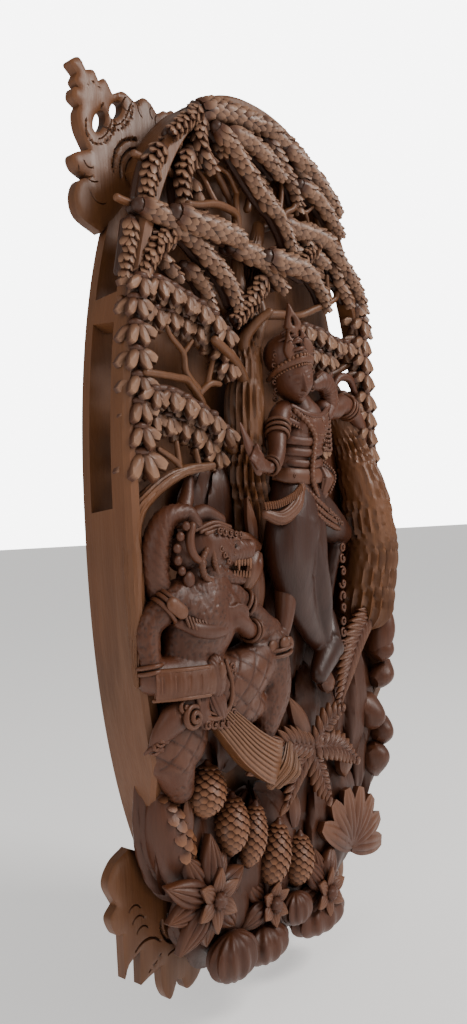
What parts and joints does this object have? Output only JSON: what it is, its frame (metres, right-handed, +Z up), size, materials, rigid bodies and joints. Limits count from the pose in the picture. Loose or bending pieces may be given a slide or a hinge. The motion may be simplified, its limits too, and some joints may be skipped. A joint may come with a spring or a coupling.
{
  "type": "carved wall panel",
  "caption": "Oval carved wooden wall panel: a deep pierced relief of trees, a standing dancer and a kneeling monkey warrior, with leafy corner ornaments.",
  "frame": {"origin": "middle of the panel's oval outline, on its flat back face, where it lies against the wall", "axes": "+X to the right along the wall, +Y into the wall, +Z up; the carving faces -Y"},
  "size_m": [0.508, 0.1178, 1.042],
  "materials": {
    "carved_panel": "oiled, semi-matt on the carving, polished on the smooth skirt"
  },
  "bodies": {
    "root": {"carved_panel": "carved_panel"}
  },
  "joints": []
}
